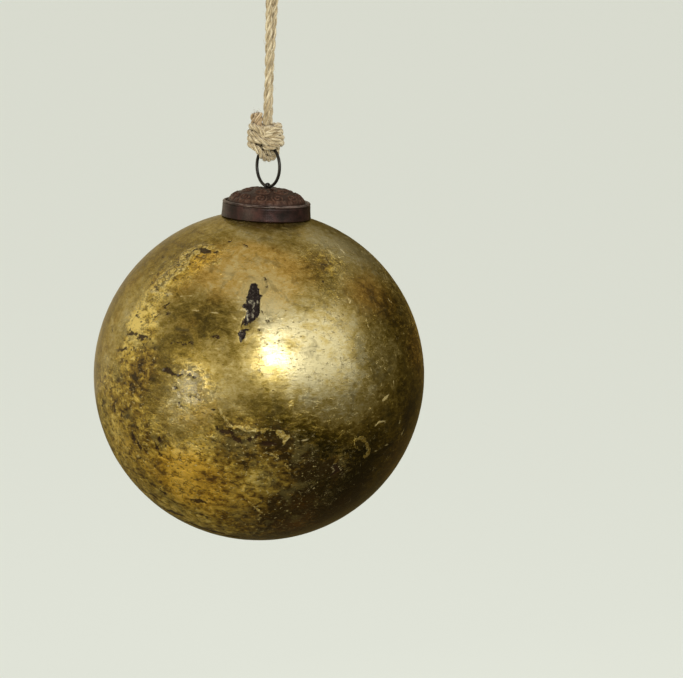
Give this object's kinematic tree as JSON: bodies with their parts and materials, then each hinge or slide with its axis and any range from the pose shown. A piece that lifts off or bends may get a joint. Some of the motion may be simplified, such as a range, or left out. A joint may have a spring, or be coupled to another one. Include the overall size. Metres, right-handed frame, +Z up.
{
  "type": "glass ball ornament",
  "caption": "Gold-leafed glass ball on a dark embossed metal cap, with a wire ring and a knotted jute twine loop to hang it by.",
  "frame": {"origin": "inside top of the twine's hanging loop, where a hook, nail or twig carries the ornament", "axes": "+Z up along the ball's axis, +X along the ring's plane, +Y along the plane of the spring wire"},
  "size_m": [0.15, 0.15, 0.2863],
  "materials": {
    "gold_leaf_glass": "gold leaf over glass, satin, cracked and worn",
    "dark_cap_metal": "aged dark bronze brown, satin",
    "black_wire": "blackened wire, semi gloss",
    "spring_steel": "plain spring wire",
    "jute": "twisted jute twine, matt and fuzzy"
  },
  "bodies": {
    "hanger": {"twine_loop": "jute", "twine_knot": "jute", "twine_tail_front": "jute", "twine_tail_back": "jute"},
    "ring": {"jump_ring": "black_wire"},
    "spring": {"spring_eye": "black_wire", "spring_leg_front": "spring_steel", "spring_leg_back": "spring_steel"},
    "cap": {"metal_cap": "dark_cap_metal"},
    "globe": {"glass_globe": "gold_leaf_glass"}
  },
  "joints": [
    {"name": "ring_swing", "type": "hinge", "parent": "hanger", "child": "ring", "pos_m": [0, 0, -0.1075], "axis": [0, 1, 0], "range_deg": [-30, 30]},
    {"name": "cap_swing", "type": "hinge", "parent": "ring", "child": "spring", "pos_m": [0, 0, -0.1217], "axis": [1, 0, 0], "range_deg": [-70, 70]},
    {"name": "cap_turn", "type": "hinge", "parent": "spring", "child": "cap", "pos_m": [0, 0, -0.125], "axis": [0, 0, 1], "continuous": true},
    {"name": "globe_release", "type": "slide", "parent": "spring", "child": "globe", "axis": [0, 0, -1], "range_m": [0, 0.03], "deforming": ["spring_leg_front", "spring_leg_back"]}
  ]
}
